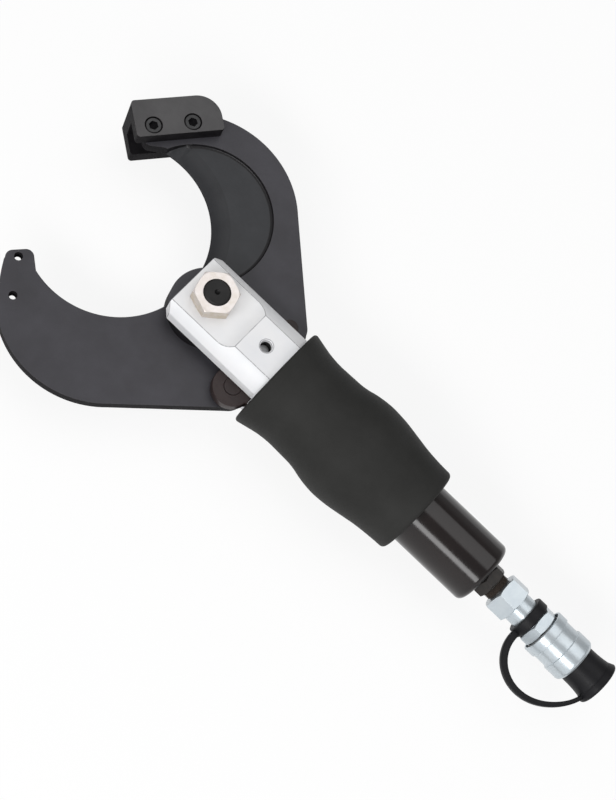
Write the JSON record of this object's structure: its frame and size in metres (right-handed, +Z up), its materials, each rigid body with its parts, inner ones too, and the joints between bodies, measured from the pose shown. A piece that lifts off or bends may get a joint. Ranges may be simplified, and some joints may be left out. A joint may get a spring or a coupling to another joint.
{
  "type": "hydraulic cutter head",
  "caption": "Remote hydraulic cutter head: hooked shear blades on a centre bolt, closed by a ram through links, with a rubber grip and a capped quick coupler.",
  "frame": {"origin": "under the middle of the length, on the surface that the grip's flange rests on", "axes": "+X along the ram from the blades to the hose coupler, +Y towards the blade with the guide block, +Z up along the centre bolt towards its nut"},
  "size_m": [0.4292, 0.199, 0.069],
  "materials": {
    "blade_steel": "black oxide, satin",
    "block_steel": "black oxide, satin",
    "yoke_steel": "machined, bright nickel plate",
    "bolt_steel": "black oxide",
    "nut_steel": "bright zinc plate",
    "link_steel": "bronzed",
    "pin_steel": "ground",
    "spring_steel": "drawn wire",
    "bearing_bronze": "turned",
    "ram_steel": "ground and hard chromed",
    "piston_steel": "turned",
    "cylinder_paint": "gloss enamel",
    "grip_rubber": "moulded, matt",
    "seal_rubber": "moulded",
    "adapter_steel": "black oxide",
    "coupler_steel": "bright zinc plate",
    "cap_plastic": "moulded, matt"
  },
  "bodies": {
    "head": {"yoke": "yoke_steel", "pivot_bush": "bearing_bronze", "centre_bolt": "bolt_steel", "centre_nut": "nut_steel", "rod_gland": "bearing_bronze", "rod_wiper": "seal_rubber", "return_spring": "spring_steel", "cylinder_tube": "cylinder_paint", "rubber_grip": "grip_rubber", "inlet_adapter": "adapter_steel", "adapter_seal": "seal_rubber", "coupler_rear": "coupler_steel", "coupler_body": "coupler_steel", "sleeve_spring": "spring_steel", "retaining_ring": "spring_steel", "locking_balls": "pin_steel", "poppet_spring": "spring_steel", "socket_seal": "seal_rubber", "cap_strap": "cap_plastic"},
    "ram": {"ram_fork": "piston_steel", "ram_pin": "pin_steel", "piston_rod": "ram_steel", "piston": "piston_steel", "piston_nut": "pin_steel", "piston_seal": "seal_rubber", "wear_ring": "cap_plastic"},
    "upper_jaw": {"upper_blade": "blade_steel", "guide_block": "block_steel", "guide_screws": "bolt_steel", "upper_tail_pin": "pin_steel"},
    "lower_jaw": {"lower_blade": "blade_steel", "lower_tail_pin": "pin_steel"},
    "upper_toggle": {"upper_link": "link_steel"},
    "lower_toggle": {"lower_link": "link_steel"},
    "sleeve": {"coupler_sleeve": "coupler_steel"},
    "poppet": {"coupler_poppet": "bearing_bronze"},
    "cap": {"dust_cap": "cap_plastic"}
  },
  "joints": [
    {"name": "ram_slide", "type": "slide", "parent": "head", "child": "ram", "axis": [-1, 0, 0], "range_m": [0, 0.05516], "stiffness_N_per_m": 800, "springref_m": -0.03, "deforming": ["return_spring"]},
    {"name": "upper_blade_pivot", "type": "hinge", "parent": "head", "child": "upper_jaw", "pos_m": [-0.09938, 0, 0.0345], "axis": [0, 0, 1], "range_deg": [0, 52.05]},
    {"name": "lower_blade_pivot", "type": "hinge", "parent": "head", "child": "lower_jaw", "pos_m": [-0.09938, 0, 0.0345], "axis": [0, 0, 1], "range_deg": [-52.05, 0]},
    {"name": "upper_link_pivot", "type": "hinge", "parent": "upper_jaw", "child": "upper_toggle", "pos_m": [-0.05738, 0.0251, 0.0345], "axis": [0, 0, 1], "range_deg": [-81.35, 0]},
    {"name": "lower_link_pivot", "type": "hinge", "parent": "lower_jaw", "child": "lower_toggle", "pos_m": [-0.05738, -0.0251, 0.0345], "axis": [0, 0, 1], "range_deg": [0, 81.35]},
    {"name": "sleeve_slide", "type": "slide", "parent": "head", "child": "sleeve", "axis": [-1, 0, 0], "range_m": [0, 0.005], "stiffness_N_per_m": 1500, "springref_m": -0.004, "deforming": ["sleeve_spring"]},
    {"name": "poppet_slide", "type": "slide", "parent": "head", "child": "poppet", "axis": [-1, 0, 0], "range_m": [0, 0.004], "stiffness_N_per_m": 800, "springref_m": -0.003, "deforming": ["poppet_spring"]},
    {"name": "cap_pull", "type": "slide", "parent": "head", "child": "cap", "axis": [1, 0, 0], "range_m": [0, 0.0235], "deforming": ["cap_strap"]}
  ],
  "couplings": [
    {"joint": "upper_blade_pivot", "follows": "ram_slide", "rad_per_m": 16.452},
    {"joint": "lower_blade_pivot", "follows": "ram_slide", "rad_per_m": -16.452},
    {"joint": "upper_link_pivot", "follows": "ram_slide", "rad_per_m": -25.718},
    {"joint": "lower_link_pivot", "follows": "ram_slide", "rad_per_m": 25.718}
  ]
}
